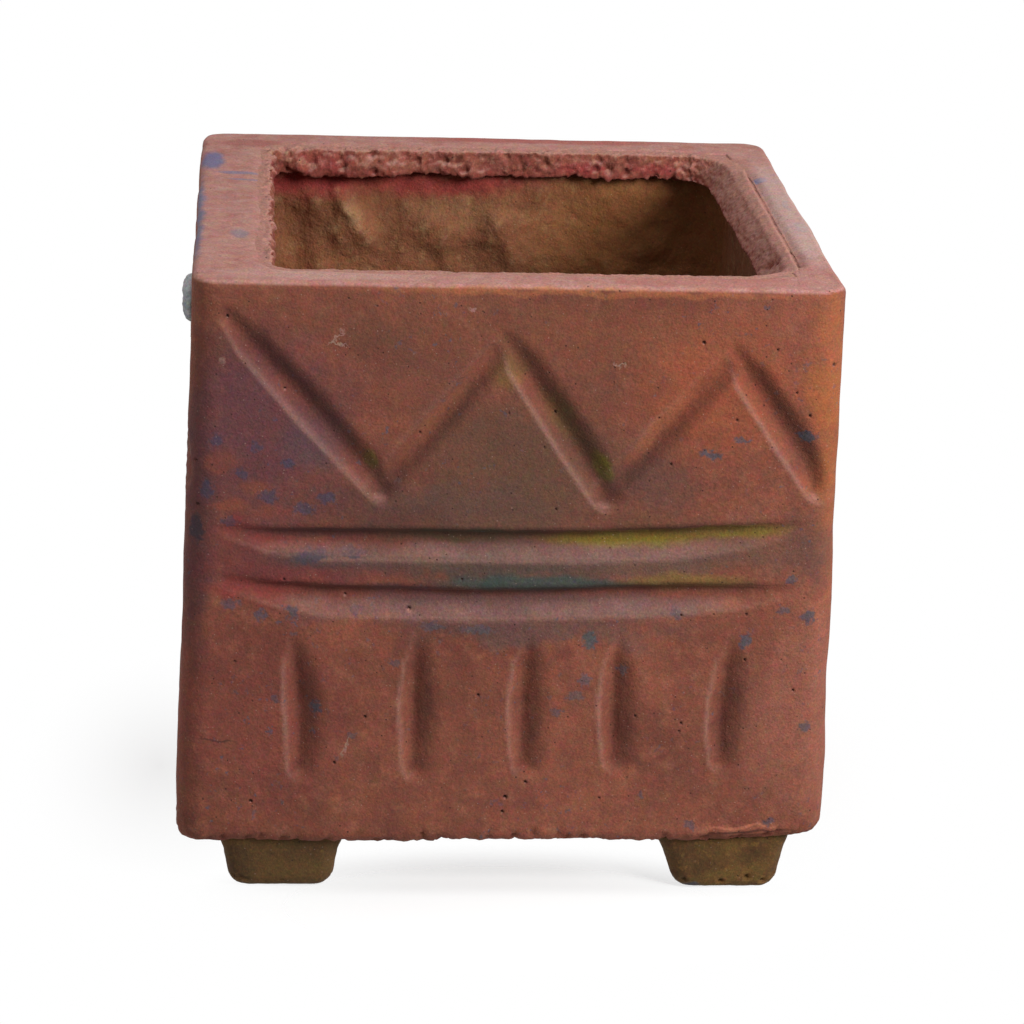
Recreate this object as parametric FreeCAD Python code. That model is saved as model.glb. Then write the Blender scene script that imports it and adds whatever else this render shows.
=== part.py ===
import FreeCAD, Part
import math
import os

# A square planter of pigmented cement, cast upside down in a drafted mould.
# Millimetres, +Z up, origin on the floor under the middle of the pot.
# The front face looks along -Y, and the four feet stand on the floor at Z = 0.

# Whole pot
top_width = 200.0
side_draft = 3.5
body_height = 183.2
foot_height = 18.5
corner_radius = 9.0
rim_bevel = 1.4
base_bevel = 2.6

# Red face coat, cast against the mould
coat_wall = 10.0
coat_corner_radius = 5.0

# Buff mortar lining inside the coat
lining_wall = 6.0
cavity_corner_radius = 14.0
smear_width = 26.0
smear_height = 3.2

# Rough collar of red mix round the mouth, bedded on the lining, and the rim's four widths
collar_depth = 9.0
rim_left = 24.0
rim_right = 18.0
rim_front = 19.0
rim_back = 21.0
mouth_flare = 1.5
mouth_small_radius = 6.0
mouth_large_radius = 15.0

# Mortar slab that closes the pot below, with its drain hole
slab_thickness = 16.0
drain_radius = 7.0

# Feet, tapered blocks of the same mortar
left_foot_inset = 33.0
right_foot_inset = 31.4
foot_setback = 23.0
left_foot_top_width = 38.4
left_foot_floor_width = 31.0
right_foot_top_width = 41.4
right_foot_floor_width = 31.2
foot_top_length = 38.0
foot_floor_length = 35.0
foot_edge_radius = 6.0
foot_bevel = 3.0

# Pressed relief: a zigzag, two bows and a row of dabs on each side
stroke_width = 9.6
stroke_depth = 3.0
link_width = 8.0
upper_bow_width = 8.6
lower_bow_width = 9.4
bow_depth = 2.7
dab_width = 11.5
dab_depth = 3.0

# Spilt mortar that set on the left side, just under the rim
spill_radius = 6.5
spill_crown_radius = 3.5
spill_height = 2.9
spill_drop = 9.0
spill_setback = 16.0

# One overrun for every cut
overrun = 5.0

# Places of the relief on a side: share of the half width to the right, share of the height
# down from the rim, and share of the full depth
zigzag_shares = [
    (-0.89, 0.062, 0),
    (-0.417, 0.356, 1),
    (-0.039, 0.099, 1),
    (0.279, 0.365, 1),
    (0.668, 0.119, 1),
    (0.945, 0.348, 1),
]
upper_bow_shares = [(-0.91, 0.435, 0), (-0.60, 0.453, 0.9), (0.45, 0.439, 0.95), (0.93, 0.413, 0)]
lower_bow_shares = [(-0.90, 0.523, 0), (-0.58, 0.546, 0.9), (0.30, 0.545, 1), (0.91, 0.529, 0)]
dab_tip_share = 0.9
# A dab has three places along its line: pointed head, widest place and foot
dab_shares = [
    [(-0.665, 0.630), (-0.646, 0.815), (-0.638, 0.893)],
    [(-0.287, 0.628), (-0.290, 0.815), (-0.291, 0.892)],
    [(0.061, 0.635), (0.058, 0.810), (0.057, 0.885)],
    [(0.342, 0.636), (0.364, 0.798), (0.374, 0.870)],
    [(0.702, 0.640), (0.694, 0.798), (0.690, 0.871)],
]

# Smears of mortar on the lining, for each wall from the front one, anticlockwise. Each has two ends, as
# shares of the half width to the right, seen from outside, and of the height down from the rim
smear_shares = [
    [[(-0.60, 0.22), (-0.18, 0.36)], [(0.02, 0.72), (0.50, 0.58)]],
    [[(-0.56, 0.50), (-0.12, 0.32)], [(0.14, 0.60), (0.52, 0.76)]],
    [[(0.62, 0.11), (0.33, 0.23)], [(0.14, 0.24), (-0.28, 0.13)], [(-0.36, 0.32), (-0.62, 0.20)],
     [(0.54, 0.56), (0.08, 0.42)], [(-0.06, 0.68), (-0.54, 0.54)]],
    [[(0.04, 0.30), (0.52, 0.22)], [(-0.46, 0.74), (-0.02, 0.58)]],
]

quarter_turn = 90.0

pot_height = foot_height + body_height
base_width = top_width + 2 * side_draft
side_slant = math.degrees(math.atan2(side_draft, body_height))
slab_top = foot_height + slab_thickness
collar_base = pot_height - collar_depth
mouth_width = top_width - rim_left - rim_right
mouth_length = top_width - rim_front - rim_back


def vector(x, y, z):
    return FreeCAD.Vector(x, y, z)


across = vector(1, 0, 0)
slanting = vector(1, 1, 0)
upwards = vector(0, 0, 1)


def width_at(height):
    """Outside width of the drafted body at a height above the floor."""
    share = (pot_height - height) / body_height
    return top_width + 2 * side_draft * share


def tapered_block(low_size, high_size, low, high, shift=(0, 0)):
    """Block with flat slanted sides between two level rectangles."""
    half_low = (low_size[0] / 2, low_size[1] / 2)
    half_high = (high_size[0] / 2, high_size[1] / 2)
    block = Part.makeWedge(
        -half_low[0], low, -half_low[1], -half_high[1], -half_high[0],
        half_low[0], high, half_low[1], half_high[1], half_high[0],
    )
    # A wedge rises along Y, so it is stood up
    block.rotate(vector(0, 0, 0), across, quarter_turn)
    block.translate(vector(shift[0], shift[1], 0))
    return block


def round_upright(block, radii):
    """Rounds the four upright edges of a block, from the front left one, anticlockwise."""
    box = block.BoundBox
    for radius in sorted(set(radii)):
        upright = []
        for index, (x, y) in enumerate(((0, 0), (1, 0), (1, 1), (0, 1))):
            corner_x = box.XMax if x else box.XMin
            corner_y = box.YMax if y else box.YMin
            middle = vector(corner_x, corner_y, (box.ZMin + box.ZMax) / 2)
            if radii[index] == radius:
                upright.append(nearest_edge(block, middle))
        block = block.makeFillet(radius, upright)
    return block


def nearest_edge(shape, point):
    """Edge that passes closest to a point."""
    vertex = Part.Vertex(point)
    return min(shape.Edges, key=lambda edge: edge.distToShape(vertex)[0])


def drafted_block(inset, radius, low, high):
    """Block between two heights whose sides run parallel to the pot's drafted sides."""
    low_side = width_at(low) - 2 * inset
    high_side = width_at(high) - 2 * inset
    block = tapered_block((low_side, low_side), (high_side, high_side), low, high)
    return round_upright(block, [radius] * 4)


def bevel_end(block, size, end, other_end, bevel, radius, shift=(0, 0)):
    """Bevels a block's level end at 45 degrees, with a block that widens away from that end."""
    narrow = (size[0] - 2 * bevel, size[1] - 2 * bevel)
    reach = abs(other_end - end)
    wide = (narrow[0] + 2 * reach, narrow[1] + 2 * reach)
    if end < other_end:
        tool = tapered_block(narrow, wide, end, other_end, shift)
    else:
        tool = tapered_block(wide, narrow, other_end, end, shift)
    return block.common(round_upright(tool, [radius] * 4))


def groove_radius(width, depth):
    """Radius of a round tool that leaves a groove of this width and depth in a flat face."""
    return (width * width / 4 + depth * depth) / (2 * depth)


def on_side(place, out):
    """Point in the frame of a side: right, up the slanted face, and out of it."""
    slanted_height = math.hypot(side_draft, body_height)
    return vector(place[0] * top_width / 2, -place[1] * slanted_height, out)


def stroke(places, width, depth):
    """Mark of a round-nosed tool: bars between the places, with a ball where it is in the cement."""
    radius = groove_radius(width, depth)
    points = [on_side(place, radius - place[2] * depth) for place in places]
    pieces = []
    for start, end in zip(points, points[1:]):
        line = end - start
        pieces.append(Part.makeCylinder(radius, line.Length, start, line))
    for place, point in zip(places, points):
        if place[2] > 0:
            # The ball's poles lie in the face, clear of the groove
            pieces.append(Part.makeSphere(radius, point, slanting))
    return pieces[0].multiFuse(pieces[1:])


def dab(places, width, depth):
    """Finger mark: two cones end to end, a long one from the head and a short one to the foot."""
    girth = groove_radius(width, depth)
    offset = girth - depth
    # The tips are thinner than the height of the line over the face, so they end clear of it
    tip = offset * dab_tip_share
    head, belly, foot = [on_side(place, offset) for place in places]
    line = foot - head
    upper = Part.makeCone(tip, girth, (belly - head).Length, head, line)
    lower = Part.makeCone(girth, tip, (foot - belly).Length, belly, line)
    return upper.fuse(lower)


def smear(start, end):
    """Smear of mortar: a dab that is widest halfway between its ends, and rises instead of sinking in."""
    middle = ((start[0] + end[0]) / 2, (start[1] + end[1]) / 2)
    return dab([start, middle, end], smear_width, smear_height)


def link(start_place, end_place):
    """Narrower stroke of the zigzag, which starts and ends inside the round ends beside it."""
    offset = groove_radius(stroke_width, stroke_depth) - stroke_depth
    radius = math.hypot(link_width / 2, offset)
    start = on_side(start_place, offset)
    line = on_side(end_place, offset) - start
    return Part.makeCylinder(radius, line.Length, start, line)


def stand_up(tools, inset):
    """Moves tools from the frame of a side to the front face, or to the face that lies further in."""
    middle = vector(0, inset - top_width / 2, pot_height)
    turn = FreeCAD.Rotation(across, quarter_turn - side_slant)
    placement = FreeCAD.Placement(middle, turn)
    for tool in tools:
        tool.transformShape(placement.toMatrix(), False)
    return tools


def side_relief():
    """All the tools that press the pattern into the front face."""
    tools = []
    for index, places in enumerate(zip(zigzag_shares, zigzag_shares[1:])):
        if index % 2 == 0:
            tools.append(stroke(places, stroke_width, stroke_depth))
        else:
            tools.append(link(*places))
    tools.append(stroke(upper_bow_shares, upper_bow_width, bow_depth))
    tools.append(stroke(lower_bow_shares, lower_bow_width, bow_depth))
    for places in dab_shares:
        tools.append(dab(places, dab_width, dab_depth))
    return stand_up(tools, 0)


def make_coat():
    """Face coat: four drafted walls with rounded edges and the pattern on each side."""
    body = drafted_block(0, corner_radius, foot_height, pot_height)
    rim = (top_width, top_width)
    base = (base_width, base_width)
    body = bevel_end(body, rim, pot_height, foot_height, rim_bevel, corner_radius)
    body = bevel_end(body, base, foot_height, pot_height, base_bevel, corner_radius)
    low = foot_height - overrun
    high = pot_height + overrun
    body = body.cut(drafted_block(coat_wall, coat_corner_radius, low, high))
    for side in range(4):
        for tool in side_relief():
            tool.rotate(vector(0, 0, 0), upwards, side * quarter_turn)
            body = body.cut(tool)
    return body


def make_lining():
    """Mortar coat on the walls, from the slab up to the collar, smeared on by hand."""
    outside = drafted_block(coat_wall, coat_corner_radius, slab_top, collar_base)
    inset = coat_wall + lining_wall
    low = slab_top - overrun
    high = collar_base + overrun
    cavity = drafted_block(inset, cavity_corner_radius, low, high)
    # The hollow is cut back where a smear stands
    for side, places in enumerate(smear_shares):
        for tool in stand_up([smear(start, end) for start, end in places], inset):
            tool.rotate(vector(0, 0, 0), upwards, side * quarter_turn)
            cavity = cavity.cut(tool)
    return outside.cut(cavity)


def make_collar():
    """Collar round the mouth: flush with the rim, narrowest at its lower lip."""
    collar = drafted_block(coat_wall, coat_corner_radius, collar_base, pot_height)
    radii = [mouth_small_radius, mouth_large_radius, mouth_large_radius, mouth_small_radius]
    flare_per_height = mouth_flare / collar_depth
    sizes = []
    for height in (collar_base - overrun, pot_height + overrun):
        spread = 2 * flare_per_height * (height - collar_base)
        sizes.append((mouth_width + spread, mouth_length + spread))
    shift = ((rim_left - rim_right) / 2, (rim_front - rim_back) / 2)
    low = collar_base - overrun
    high = pot_height + overrun
    mouth = tapered_block(sizes[0], sizes[1], low, high, shift)
    return collar.cut(round_upright(mouth, radii))


def make_slab():
    """Mortar slab between the walls, level with their feet, with the drain hole through it."""
    slab = drafted_block(coat_wall, coat_corner_radius, foot_height, slab_top)
    start = vector(0, 0, foot_height - overrun)
    drain = Part.makeCylinder(drain_radius, slab_thickness + 2 * overrun, start)
    return slab.cut(drain)


def make_foot(side_x, side_y):
    """Tapered foot under a corner of the pot, standing on a smaller flat."""
    top_width_of_foot = left_foot_top_width if side_x < 0 else right_foot_top_width
    floor_width = left_foot_floor_width if side_x < 0 else right_foot_floor_width
    inset = left_foot_inset if side_x < 0 else right_foot_inset
    x = side_x * (base_width / 2 - inset)
    y = side_y * (base_width / 2 - foot_setback)
    low_size = (floor_width, foot_floor_length)
    high_size = (top_width_of_foot, foot_top_length)
    foot = tapered_block(low_size, high_size, 0, foot_height, (x, y))
    foot = round_upright(foot, [foot_edge_radius] * 4)
    return bevel_end(foot, low_size, 0, foot_height, foot_bevel, foot_edge_radius, (x, y))


def make_spill():
    """Low blob of mortar with a slanted edge, flat against the left side."""
    height = pot_height - spill_drop
    face_x = -width_at(height) / 2
    sunk = spill_height / 2
    root = vector(face_x + sunk, spill_setback - top_width / 2, height)
    # The cone starts inside the wall, wider by the same slant, and the wall is cut off it
    slant = (spill_radius - spill_crown_radius) / spill_height
    root_radius = spill_radius + slant * sunk
    blob = Part.makeCone(root_radius, spill_crown_radius, spill_height + sunk, root, -across)
    return blob.cut(drafted_block(0, corner_radius, foot_height, pot_height))


parts = {
    "face_coat": make_coat(),
    "wall_lining": make_lining(),
    "mouth_collar": make_collar(),
    "base_slab": make_slab(),
    "foot_front_left": make_foot(-1, -1),
    "foot_front_right": make_foot(1, -1),
    "foot_back_left": make_foot(-1, 1),
    "foot_back_right": make_foot(1, 1),
    "mortar_spill": make_spill(),
}

os.makedirs("parts", exist_ok=True)
for name, shape in parts.items():
    solid = shape.Solids[0]
    print(name, "valid", solid.isValid(), "solids", len(shape.Solids), "faces", len(solid.Faces))
    print("  volume", round(solid.Volume), "box", solid.BoundBox)
    solid.exportStep("parts/" + name + ".step")
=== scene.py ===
import math
import bmesh
import bpy
import numpy as np
from mathutils import Matrix, Vector


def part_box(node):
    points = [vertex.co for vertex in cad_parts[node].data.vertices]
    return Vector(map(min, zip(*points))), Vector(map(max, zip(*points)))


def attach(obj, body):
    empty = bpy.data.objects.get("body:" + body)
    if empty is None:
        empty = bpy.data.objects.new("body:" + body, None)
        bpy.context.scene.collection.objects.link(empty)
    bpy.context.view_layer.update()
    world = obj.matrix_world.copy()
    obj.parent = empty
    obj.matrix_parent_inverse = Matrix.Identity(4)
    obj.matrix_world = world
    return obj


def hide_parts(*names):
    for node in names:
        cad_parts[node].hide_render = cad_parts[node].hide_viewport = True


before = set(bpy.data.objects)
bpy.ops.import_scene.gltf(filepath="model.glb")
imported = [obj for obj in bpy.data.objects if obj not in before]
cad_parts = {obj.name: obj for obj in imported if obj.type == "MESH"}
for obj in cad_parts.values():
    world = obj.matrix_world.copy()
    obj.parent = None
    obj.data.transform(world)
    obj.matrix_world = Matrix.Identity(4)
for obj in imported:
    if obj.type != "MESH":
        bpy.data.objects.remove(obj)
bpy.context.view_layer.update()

# A planter cast by hand in pigmented cement. Lengths are millimetres, and MM turns them into metres.
MM = 0.001
# A face is level, or looks down, past this share of its normal
LEVEL = 0.9


def box_of(node):
    """Lowest and highest corner of a CAD node, in millimetres."""
    low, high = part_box(node)
    return Vector(low) / MM, Vector(high) / MM


coat_low, coat_high = box_of("face_coat")
RIM = coat_high.z
FOOT = coat_low.z
TOP_HALF = 100
BASE_HALF = coat_high.x
WALL = 10

# Rounding of the coat's corners, rim and lower edge, and thickness of its skim over the collar
CORNER_ROUND = 9
RIM_ROUND = 2.2
LOWER_ROUND = 4.5
SKIM = 1.8

# The mouth at the rim: left, right, front and back edges, and its corner radii on the left and on the right
MOUTH = (-76, 83.5, -82, 79.5)
MOUTH_SMALL_RADIUS = 7
MOUTH_LARGE_RADIUS = 15


def block(name, low, high):
    """A cube of that box, in edit mode, with nothing selected."""
    low, high = Vector(low) * MM, Vector(high) * MM
    bpy.ops.object.select_all(action="DESELECT")
    bpy.ops.mesh.primitive_cube_add(size=1, location=(low + high) / 2)
    piece = bpy.context.object
    piece.name = piece.data.name = name
    piece.scale = high - low
    bpy.ops.object.transform_apply(location=True, rotation=True, scale=True)
    bpy.ops.object.mode_set(mode="EDIT")
    bpy.ops.mesh.select_all(action="DESELECT")
    return piece


def choose(piece, kind, test):
    """Selects the vertices, edges or faces of a piece in edit mode that pass a test."""
    bpy.ops.mesh.select_mode(type=kind)
    bpy.ops.mesh.select_all(action="DESELECT")
    mesh = bmesh.from_edit_mesh(piece.data)
    for item in {"VERT": mesh.verts, "EDGE": mesh.edges, "FACE": mesh.faces}[kind]:
        if test(item):
            item.select_set(True)
    mesh.select_flush_mode()
    bmesh.update_edit_mesh(piece.data)


def pick(piece):
    """Makes a piece the only selected object."""
    bpy.ops.object.select_all(action="DESELECT")
    piece.select_set(True)
    bpy.context.view_layer.objects.active = piece


def object_mode():
    bpy.ops.object.mode_set(mode="OBJECT")


def bevel(width, segments):
    """Rounds the chosen edges."""
    bpy.ops.mesh.bevel(offset=width * MM, segments=segments, affect="EDGES")


def span(edge):
    """Run of an edge from end to end, in millimetres."""
    return (edge.verts[1].co - edge.verts[0].co) / MM


def heights(edge):
    """Heights of an edge's ends, in millimetres."""
    return [vert.co.z / MM for vert in edge.verts]


def ring_of(vert):
    """How far out from the pot's middle line a vertex lies, measured square."""
    return max(abs(vert.co.x), abs(vert.co.y)) / MM


def split(piece, test, cuts):
    """Halves the long edges that pass a test, and cuts each half again."""
    for count, shortest in ((1, 100), (cuts, 45)):
        choose(piece, "EDGE", lambda edge: test(edge, shortest))
        bpy.ops.mesh.subdivide(number_cuts=count)


def places(piece):
    """The piece's vertices as an array, in millimetres."""
    flat = np.empty(len(piece.data.vertices) * 3)
    piece.data.vertices.foreach_get("co", flat)
    return flat.reshape(-1, 3) / MM


def set_places(piece, points):
    piece.data.vertices.foreach_set("co", (points * MM).ravel())
    piece.data.update()


def normals(piece):
    flat = np.empty(len(piece.data.vertices) * 3)
    piece.data.vertices.foreach_get("normal", flat)
    return flat.reshape(-1, 3)


def ramp(value, start, end):
    """Soft step from 0 to 1 while a value goes from start to end."""
    share = np.clip((value - start) / (end - start), 0, 1)
    return share * share * (3 - 2 * share)


def hump(value, middle, width):
    """Soft hump, 1 high, round a value."""
    return np.exp(-((value - middle) / width) ** 2)


def wander(points, size, turn):
    """Slow handmade waver from -1 to 1 over a given size, out of phase by turn."""
    x, y, z = (points / size).T
    return (np.sin(1.7 * x + 2.3 * y + 0.9 * z + turn) + np.sin(-1.1 * x + 1.9 * z + 1.3 * y + 2 * turn + 1)
            + np.sin(2.6 * z + 0.7 * x - 1.6 * y + 3 * turn + 2)) / 3


def modify(piece, kind, **settings):
    """Adds a modifier with its settings and applies it."""
    pick(piece)
    modifier = piece.modifiers.new(kind.lower(), kind)
    for name, value in settings.items():
        setattr(modifier, name, value)
    bpy.ops.object.modifier_apply(modifier=modifier.name)


def remesh(piece, grain):
    """Rebuilds a piece as even small faces of one size."""
    modify(piece, "REMESH", mode="VOXEL", voxel_size=grain * MM)


def roughen(piece, kind, size, strength, group="", mid_level=0.5, **settings):
    """Pushes the surface in and out by a procedural pattern of a real size."""
    pattern = bpy.data.textures.new(piece.name + "_" + kind.lower(), kind)
    pattern.noise_scale = size * MM
    pattern.use_clamp = True
    for name, value in settings.items():
        setattr(pattern, name, value)
    modify(piece, "DISPLACE", texture=pattern, texture_coords="LOCAL", strength=strength * MM,
           mid_level=mid_level, vertex_group=group)


def keep(piece, name, values):
    """Keeps a value from 0 to 1 for each vertex, for the material."""
    values = np.clip(values, 0, 1).astype(np.float32)
    piece.data.attributes.new(name, "FLOAT", "POINT").data.foreach_set("value", values)


def weigh(piece, name, weights):
    """Vertex group with a weight from 0 to 1 for each vertex."""
    group = piece.vertex_groups.new(name=name)
    steps = np.round(np.clip(weights, 0, 1) * 20).astype(int)
    for step in range(1, 21):
        members = np.nonzero(steps == step)[0].tolist()
        if members:
            group.add(members, step / 20, "REPLACE")


def on_sides(points):
    """Side of each place (0 front, 1 right, 2 back, 3 left), and how far right and down it lies there."""
    x, y, z = points.T
    side = np.where(np.abs(y) >= np.abs(x), np.where(y < 0, 0, 2), np.where(x > 0, 1, 3))
    return side, np.choose(side, [x, y, -x, -y]), RIM - z


OUTWARD = np.array([(0, -1, 0), (1, 0, 0), (0, 1, 0), (-1, 0, 0)], float)


def mouth_gap(points):
    """Distance outside the mouth's rounded edge, in plan. It is negative inside the mouth."""
    x, y = points[:, 0], points[:, 1]
    left, right, front, back = MOUTH
    radius = np.where(x > 0, MOUTH_LARGE_RADIUS, MOUTH_SMALL_RADIUS)
    off_x = np.where(x > 0, x - (right - radius), (left + radius) - x)
    off_y = np.where(y > 0, y - (back - radius), (front + radius) - y)
    outside = np.hypot(np.maximum(off_x, 0), np.maximum(off_y, 0))
    return outside + np.minimum(np.maximum(off_x, off_y), 0) - radius


# The marks pressed into each side, as runs of points: right of the side's middle, down from the rim, and
# the share of the mark's depth there
STROKES = [
    [(-89.5, 10.5, 0.3), (-82, 20, 0.8), (-64, 40, 1), (-41.7, 64.8, 0.8)],
    [(-4.4, 17.5, 0.35), (1.5, 26, 0.9), (18, 51, 1), (27.9, 66.4, 0.85)],
    [(66.3, 20.8, 0.35), (71.5, 29, 0.9), (84, 47, 1), (94.5, 63, 0.85)],
]
LINKS = [
    [(-41.7, 64.8, 0.6), (-24, 43, 0.8), (-7, 21.5, 0.6)],
    [(27.9, 66.4, 0.6), (46, 45, 0.8), (64, 25, 0.6)],
]
BOWS = [
    [(-91, 77.6, 0.1), (-75, 80, 0.7), (-58, 80.6, 1), (-35, 80.5, 1), (2, 80.2, 1), (24, 80.1, 1),
     (50, 78.9, 1), (71, 77.2, 0.7), (93, 74.4, 0)],
    [(-91, 94.4, 0.1), (-74, 97.2, 0.7), (-58, 98.8, 1), (-37, 99.2, 1), (-13, 99.8, 1), (3, 99.4, 1),
     (25, 98.6, 1), (51, 97.4, 1), (72, 96.8, 0.7), (91, 95.6, 0)],
]
DABS = [
    [(-67.2, 115, 0.15), (-66.4, 124, 0.7), (-65, 136, 1), (-64.6, 147, 0.85), (-65, 156.5, 0.65)],
    [(-28.4, 114.5, 0.15), (-29, 124, 0.7), (-29, 136, 1), (-28.8, 147, 0.85), (-28.8, 156.5, 0.65)],
    [(6.4, 115, 0.15), (5.6, 124, 0.75), (5.4, 135, 1), (5.4, 146, 0.85), (5.8, 155.5, 0.65)],
    [(34.4, 115, 0.15), (34, 124, 0.75), (34, 135, 1), (34.4, 145, 0.9), (34.8, 153.5, 0.7)],
    [(70.6, 115.5, 0.15), (69.4, 124, 0.75), (68.8, 135, 1), (68.4, 145, 0.9), (68.6, 153.5, 0.65)],
]
STROKE_DEPTH = 3.2
LINK_DEPTH = 3.04
BOW_DEPTH = 3.3
DAB_DEPTH = 3.6
# Each kind of mark: its runs, depth, reach of its crisp and of its soft shoulder, direction of the crisp
# one (right, down), and how strongly its shoulder's lime and painted highlight and its painted shade show
# in the colour
MARKS = {
    "stroke": (STROKES, STROKE_DEPTH, 5.2, 8.4, (-0.75, 0.66), 1, 1),
    "link": (LINKS, LINK_DEPTH, 5.8, 8.0, (-0.74, -0.67), 0.4, 1),
    "bow": (BOWS, BOW_DEPTH, 2.5, 8.6, (0, -1), 1, 1),
    "dab": (DABS, DAB_DEPTH, 5.4, 9.4, (-1, 0.12), 1, 0.7),
}
# Marks run out over this distance from a side's middle, where its corner rounds off
MARKS_END = (98.5, 93.5)

# Pores of the coat on each side: right, down and radius
PORES = {
    0: [(-89.1, 11.2, 0.7), (56.1, 16.9, 0.8), (43.5, 41, 0.6), (79, 18.8, 0.6), (97.3, 23.9, 0.9),
        (94.2, 1.8, 0.6), (85.7, 32.4, 0.6), (90.2, 39.7, 0.7), (67.6, 41.3, 0.6), (47.9, 55.8, 0.6),
        (11.7, 40.5, 0.6), (-71.4, 34.1, 0.6), (-29.9, 47.2, 0.6), (-98, 57.1, 0.7), (-97.6, 71, 0.7),
        (-70.8, 94.7, 0.6), (-51.8, 100.4, 0.6), (-31.8, 104.5, 0.8), (-85.4, 121.9, 0.6), (-44.8, 140, 0.7),
        (-15.6, 94.1, 0.6), (12.8, 70.8, 0.6), (-9.4, 132.6, 0.7), (74, 104.7, 0.6), (53.5, 105.3, 0.6),
        (90.4, 130.4, 0.7), (74.5, 120.1, 0.6), (55.3, 141.6, 0.7), (54.8, 144.3, 0.6), (40.6, 139.3, 0.6),
        (-79.9, 168.4, 0.8), (-54.2, 155.3, 0.7), (0.3, 167.3, 1.0), (6.5, 162.1, 0.8), (30.3, 167.4, 0.6),
        (-0.5, 172.4, 0.8), (-2.8, 40.1, 0.5), (8.5, 51, 0.5)],
    1: [(-62, 22, 0.8), (-20, 60, 1.0), (14, 128, 0.9), (58, 92, 1.1), (76, 160, 0.9), (-80, 140, 0.8)],
    2: [(-70, 34, 0.9), (-12, 16, 0.8), (40, 70, 1.1), (66, 150, 0.9), (-44, 132, 1.0), (8, 168, 0.8)],
    3: [(-58, 30, 0.9), (4, 82, 1.0), (50, 24, 0.8), (72, 126, 1.1), (-26, 158, 0.9), (24, 148, 0.8)],
}


def press(kind, points, right, down):
    """Depth of a mark at each place, and its shares of pressed-up shoulder, which carries lime and a painted
    highlight, and of painted shade on its side turned from the light, 0 to 1.
    """
    depth, crisp, soft, (lean_right, lean_down), lime, painted_shade_strength = MARKS[kind][1:]
    deepest, shoulder, crease = np.zeros((3, len(right)))
    nearest = np.full(len(right), 9.0)
    for (x0, y0, share0), (x1, y1, share1) in zip(points, points[1:]):
        run_x, run_y = x1 - x0, y1 - y0
        along = np.clip(((right - x0) * run_x + (down - y0) * run_y) / (run_x ** 2 + run_y ** 2), 0, 1)
        off_x = right - x0 - along * run_x
        off_y = down - y0 - along * run_y
        away = np.hypot(off_x, off_y)
        crisp_share = 0.5 + 0.5 * (off_x * lean_right + off_y * lean_down) / np.maximum(away, 1e-6)
        share = share0 + along * (share1 - share0)
        ratio = away / ((soft + (crisp - soft) * crisp_share) * (0.3 + 0.7 * share))
        # The crisp side runs straight to its shoulder, and the soft side eases out of the face
        eased = np.clip(1 - ratio, 0, 1) ** 1.7 if kind == "dab" else ramp(ratio, 1, 0)
        hollow = crisp_share * np.clip(1 - ratio ** 1.7, 0, 1) + (1 - crisp_share) * eased
        deepest = np.maximum(deepest, share * hollow)
        crisp_side, soft_side = ramp(crisp_share, 0.5, 1), ramp(crisp_share, 0.5, 0)
        if kind == "bow":
            # A bow's lime, with a painted highlight, lies on its lower slope, which faces up, and its
            # painted shade on its upper wall, which faces down. Other marks get them on the crisp shoulder
            # and on the soft side, turned from the light.
            lip, dark = hump(ratio, 0.86, 0.14) * soft_side, hump(ratio, 0.75, 0.4) * crisp_side
        else:
            lip, dark = hump(ratio, 1.0, 0.16) * crisp_side, hump(ratio, 0.42, 0.32) * soft_side
        shoulder = np.where(ratio < nearest, share * lip, shoulder)
        crease = np.where(ratio < nearest, share * dark, crease)
        nearest = np.minimum(nearest, ratio)
    inside = ramp(np.abs(right), *MARKS_END)
    return depth * deepest * inside, shoulder * inside * lime, crease * inside * painted_shade_strength


def near_pore(face):
    """Whether a face of the coat lies at a pore, where the mesh is made finer."""
    x, y, z = face.calc_center_median() / MM
    if abs(y) >= abs(x):
        side, right = (0, x) if y < 0 else (2, -x)
    else:
        side, right = (1, y) if x > 0 else (3, -y)
    return max(abs(x), abs(y)) > TOP_HALF - 3 and any(
        math.hypot(right - across, RIM - z - low) < radius + 1.1 for across, low, radius in PORES[side])


# Cuts of the coat's mesh: columns on the front and on the other sides, rows, and rings of the rim
FRONT_CUTS = 89
SIDE_CUTS = 45
ROW_CUTS = 74
RING_CUTS = 14


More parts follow.
